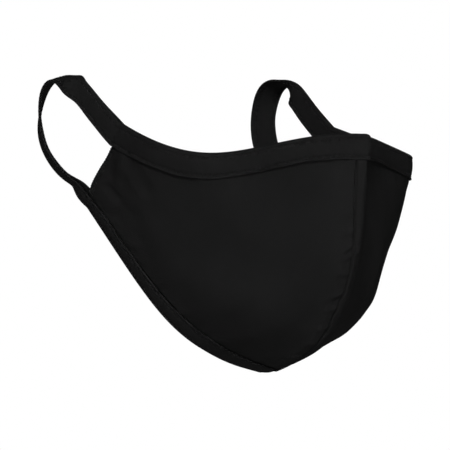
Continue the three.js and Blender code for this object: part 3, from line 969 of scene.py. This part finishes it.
def overlock(name, side):
    """The overlock stitch over the raw ear edge: a needle line, threads that slant from
    it to the edge on both faces, and the chain where they cross at the edge. side is
    1 on the wearer's left and -1 on the right."""
    turned = np.array([side, 1.0, 1.0])
    total = line_lengths(np.array([1.0]))[-1, 0]
    first, last = BINDING_WIDTH + OVERLOCK_GAP, total - EAR_END_WIDTH - OVERLOCK_GAP
    count = int((last - first) / OVERLOCK_PITCH)
    starts = first + OVERLOCK_PITCH * np.arange(count)
    rise = PANEL_WALL / 2 + 0.6 * OVERLOCK_RADIUS
    t = OVERLOCK_STEPS
    from_edge = OVERLOCK_REACH * (1 - t) - OVERLOCK_OVERHANG * t
    bend = np.clip((t - EDGE_BEND) / (1 - EDGE_BEND), 0, 1)
    height = rise * np.sqrt(np.clip(1 - bend**2, 0.01, 1))
    shape = (count, len(t))
    slanted = []
    for face in (1, -1):
        for slant in (t, 2 - t):
            slanted.append(ear_edge_points(
                np.broadcast_to(from_edge, shape),
                starts[:, None] + OVERLOCK_PITCH / 2 * slant,
                np.broadcast_to(face * height, shape),
            ))
    paths, lifts = (np.concatenate(parts) * turned for parts in zip(*slanted))
    wraps = thread_mesh(name, paths, lifts, OVERLOCK_RADIUS, sewing_thread)

    along = np.linspace(first, last, 8 * count + 1)
    lines = []
    for from_edge, face in (
        (OVERLOCK_REACH, 1),
        (OVERLOCK_REACH, -1),
        (-CHAIN_OVERHANG, 0.25),
        (-CHAIN_OVERHANG, -0.25),
    ):
        sway = CHAIN_SWAY * np.sin(2 * math.pi * (along - first) / OVERLOCK_PITCH + face)
        lines.append(ear_edge_points(from_edge + sway, along, np.full_like(along, face * rise)))
    paths, lifts = (np.stack(parts) * turned for parts in zip(*lines))
    radius = CHAIN_THICKNESS * OVERLOCK_RADIUS
    return wraps, thread_mesh(name + "_chain", paths, lifts, radius, sewing_thread)


overlock_right, chain_right = overlock("ear_edge_overlock_right", -1)
overlock_left, chain_left = overlock("ear_edge_overlock_left", 1)

# ---------------------------------------------------------------- attach the pieces to the root, and hide the part's meshes they replace

for piece, slot, node in (
    (panel_right, "panel_jersey", "panel_right"),
    (panel_left, "panel_jersey", "panel_left"),
    (binding_top, "binding_jersey", "binding_top"),
    (binding_bottom, "binding_jersey", "binding_bottom"),
    (ear_loop_right, "binding_jersey", "ear_loop_right"),
    (ear_loop_left, "binding_jersey", "ear_loop_left"),
):
    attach(piece, "root")
    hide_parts(node)

for piece, slot in (
    (stitches_top, "binding_jersey"),
    (stitches_bottom, "binding_jersey"),
    (stitches_loop_left, "binding_jersey"),
    (stitches_loop_right, "binding_jersey"),
    (seam_stitches, "panel_jersey"),
    (overlock_right, "panel_jersey"),
    (overlock_left, "panel_jersey"),
    (chain_right, "panel_jersey"),
    (chain_left, "panel_jersey"),
):
    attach(piece, "root")

# ---------------------------------------------------------------- studio

FLOOR_HEIGHT = -1.2  # metres, so low that light from it hardly reaches the underside
FLOOR_SIZE = 16.0
MASK_MIDDLE = Vector((0.0, 0.05, -0.04))

# Softboxes: azimuth, elevation, distance, size, power and the angle of the beam. The key
# stands above the mask and its beam is narrow, so that it shades the hems and folds from
# above but leaves the floor dark. The front one fills the underside.
SOFTBOXES = {
    "key_softbox": (-51.0, 28.0, 3.2, 0.9, 8.6, 20.0),
    "front_softbox": (-32.0, -25.0, 2.6, 0.9, 98.0, 180.0),
    "back_softbox": (150.0, 0.0, 3.2, 0.9, 380.0, 180.0),
    "side_softbox": (92.0, 8.0, 3.2, 0.9, 80.0, 180.0),
}


def pale_floor():
    """A floor painted matt white, with a faint grain that keeps it from looking flat."""
    material, tree = new_material("matt_white_studio_floor")
    solid = add(tree, "ShaderNodeTexCoord")
    grain = add(tree, "ShaderNodeTexNoise",
                {"Vector": solid.outputs["Object"], "Scale": 3.0, "Detail": 2.0})
    colour = add(tree, "ShaderNodeValToRGB", {0: grain.outputs[0]})
    colour.color_ramp.elements[0].color = linear("#fcfcfb")
    colour.color_ramp.elements[1].color = linear("#ffffff")
    paint = add(tree, "ShaderNodeBsdfPrincipled",
                {"Base Color": colour.outputs[0], "Roughness": 0.9, "Specular IOR Level": 0.1})
    add(tree, "ShaderNodeOutputMaterial", {"Surface": paint.outputs[0]})
    half = FLOOR_SIZE / 2
    mesh = bpy.data.meshes.new("studio_floor")
    corners = [(-half, -half, 0), (half, -half, 0), (half, half, 0), (-half, half, 0)]
    mesh.from_pydata(corners, [], [(0, 1, 2, 3)])
    mesh.materials.append(material)
    floor = put_in_scene("studio_floor", mesh)
    floor.location = (0.0, 0.0, FLOOR_HEIGHT)


def soft_light(name, azimuth, elevation, distance, size, power, beam):
    """A round softbox, placed round the mask by its direction in degrees: azimuth 0 is
    in front of the nose and -90 is at the wearer's right."""
    turn, lift = math.radians(azimuth), math.radians(elevation)
    level = Vector((math.sin(turn), -math.cos(turn), 0.0))
    away = level * math.cos(lift) + Vector((0.0, 0.0, math.sin(lift)))
    data = bpy.data.lights.new(name, "AREA")
    data.shape = "DISK"
    data.size = size
    data.energy = power
    data.spread = math.radians(beam)
    light = put_in_scene(name, data)
    light.location = MASK_MIDDLE + away * distance
    light.rotation_euler = away.to_track_quat("Z", "Y").to_euler()


def white_world():
    """White paper all round, which is also the picture's background."""
    world = bpy.data.worlds.new("studio_white")
    world.use_nodes = True
    world.node_tree.nodes.clear()
    tree = world.node_tree
    glow = add(tree, "ShaderNodeBackground", {"Color": (1.0, 1.0, 1.0, 1.0), "Strength": 1.0})
    add(tree, "ShaderNodeOutputWorld", {"Surface": glow.outputs[0]})
    bpy.context.scene.world = world


pale_floor()
white_world()
for softbox, placing in SOFTBOXES.items():
    soft_light(softbox, *placing)
bpy.context.scene.view_settings.view_transform = "Standard"
bpy.context.scene.view_settings.look = "None"
